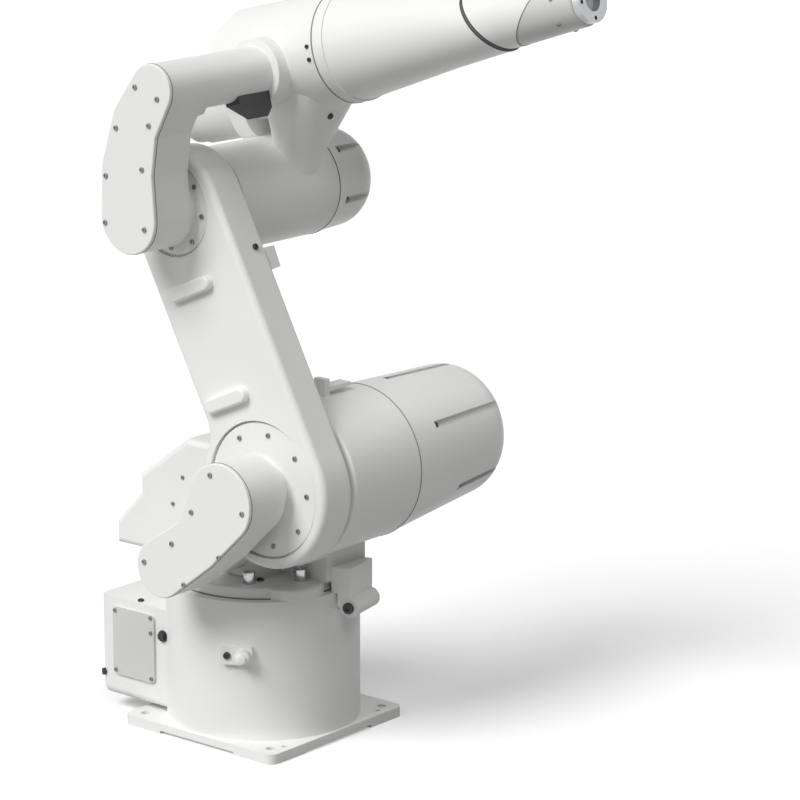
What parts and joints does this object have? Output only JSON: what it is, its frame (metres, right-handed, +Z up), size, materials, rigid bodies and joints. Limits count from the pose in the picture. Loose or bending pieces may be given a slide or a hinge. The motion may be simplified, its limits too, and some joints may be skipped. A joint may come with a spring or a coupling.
{
  "type": "industrial robot arm",
  "caption": "Floor-mounted industrial robot arm with sealed white castings, cable conduits on one side, slotted motor covers and a slim hollow roll wrist.",
  "frame": {"origin": "on the first (vertical) axis at the underside of the base plate", "axes": "+Z up, +X to the front of the base, +Y to the side of the motor covers"},
  "size_m": [0.8283, 0.551, 1.1785],
  "materials": {
    "white_paint": "satin white paint over castings",
    "grey_paint": "light grey paint",
    "dark_plastic": "dark moulded plastic",
    "steel": "machined steel"
  },
  "bodies": {
    "base": {"base_casting": "white_paint", "left_side_cover": "white_paint", "right_side_cover": "white_paint", "connector_panel": "grey_paint", "power_socket": "dark_plastic", "signal_socket": "dark_plastic", "purge_port": "white_paint"},
    "turret": {"turret_casting": "white_paint", "turret_stop": "white_paint", "motor_box": "white_paint", "turn_motor": "grey_paint", "shoulder_frame": "white_paint", "shoulder_motor_cover": "white_paint", "shoulder_tab": "white_paint", "lower_conduit_box": "white_paint", "lower_conduit_lid": "white_paint", "lower_conduit_tube": "white_paint"},
    "lower_arm": {"lower_arm_casting": "white_paint", "shoulder_hub": "steel", "shoulder_ring": "white_paint", "elbow_hub": "steel", "elbow_ring": "white_paint", "low_cable_pad": "white_paint", "high_cable_pad": "white_paint", "arm_dog": "white_paint"},
    "elbow": {"elbow_casting": "white_paint", "elbow_motor_cover": "white_paint", "upper_conduit_box": "white_paint", "upper_conduit_lid": "white_paint", "upper_conduit_tube": "white_paint", "tube_flange": "white_paint", "conduit_block": "dark_plastic", "roll_motor": "grey_paint", "roll_motor_cap": "grey_paint"},
    "forearm": {"forearm_collar": "white_paint", "forearm_tube": "white_paint"},
    "wrist": {"wrist_wedge": "white_paint", "wrist_nose": "grey_paint"},
    "tool_end": {"tool_flange": "steel"}
  },
  "joints": [
    {"name": "base_turn", "type": "hinge", "parent": "base", "child": "turret", "pos_m": [0, 0, 0.232], "axis": [0, 0, 1], "range_deg": [-160, 160]},
    {"name": "shoulder_swing", "type": "hinge", "parent": "turret", "child": "lower_arm", "pos_m": [0.136, 0, 0.42], "axis": [0, 1, 0], "range_deg": [-40, 85]},
    {"name": "elbow_swing", "type": "hinge", "parent": "lower_arm", "child": "elbow", "pos_m": [-0.03684, 0, 0.81373], "axis": [0, -1, 0], "range_deg": [-75, 80]},
    {"name": "forearm_roll", "type": "hinge", "parent": "elbow", "child": "forearm", "pos_m": [0.11009, 0.08, 1.04132], "axis": [0.9724, 0, 0.2334], "range_deg": [-270, 270]},
    {"name": "wrist_roll", "type": "hinge", "parent": "forearm", "child": "wrist", "pos_m": [0.37555, 0.08, 1.10505], "axis": [0.7373, 0, 0.6756], "range_deg": [-180, 180]},
    {"name": "tool_roll", "type": "hinge", "parent": "wrist", "child": "tool_end", "pos_m": [0.53988, 0.08, 1.14451], "axis": [0.9724, 0, 0.2334], "range_deg": [-200, 200]}
  ]
}
